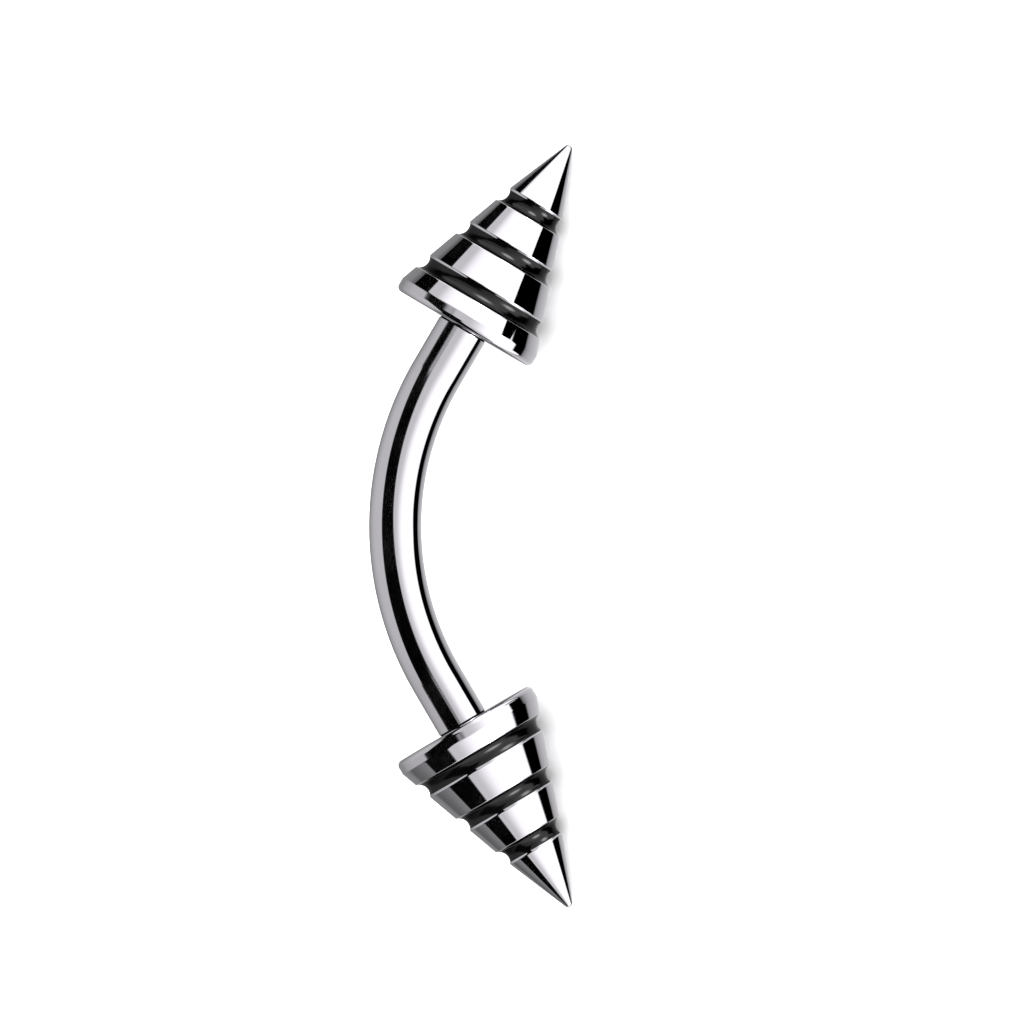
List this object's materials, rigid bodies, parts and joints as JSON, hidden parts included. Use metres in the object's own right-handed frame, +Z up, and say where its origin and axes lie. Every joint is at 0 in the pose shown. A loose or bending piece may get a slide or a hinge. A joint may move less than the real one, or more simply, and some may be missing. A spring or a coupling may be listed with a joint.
{
  "type": "curved barbell with grooved cone ends",
  "caption": "Bent round steel bar for an eyebrow piercing, with a blackened-groove cone screwed on at each end; lies on a surface on the sides of its cones.",
  "frame": {"origin": "on the surface that the piece lies on, under the middle of its box", "axes": "+Y from the lower cone to the upper cone along the bar's length, +Z up, +X towards the side that both cones point to"},
  "size_m": [0.0036, 0.0172, 0.0034],
  "materials": {
    "bar_steel": "mirror-polished surgical steel, no plating",
    "cone_steel": "mirror-polished surgical steel, with glossy black colour in the turned grooves"
  },
  "bodies": {
    "bar": {"curved_bar": "bar_steel"},
    "upper_end": {"upper_cone": "cone_steel"},
    "lower_end": {"lower_cone": "cone_steel"}
  },
  "joints": [
    {"name": "upper_cone_turn", "type": "hinge", "parent": "bar", "child": "upper_end", "pos_m": [-0.00006, 0.00449, 0.00176], "axis": [0.3769, 0.8628, -0.3369], "range_deg": [0, 2592]},
    {"name": "lower_cone_turn", "type": "hinge", "parent": "bar", "child": "lower_end", "pos_m": [-0.00006, -0.00449, 0.00176], "axis": [0.3769, -0.8628, -0.3369], "range_deg": [0, 2592]}
  ]
}
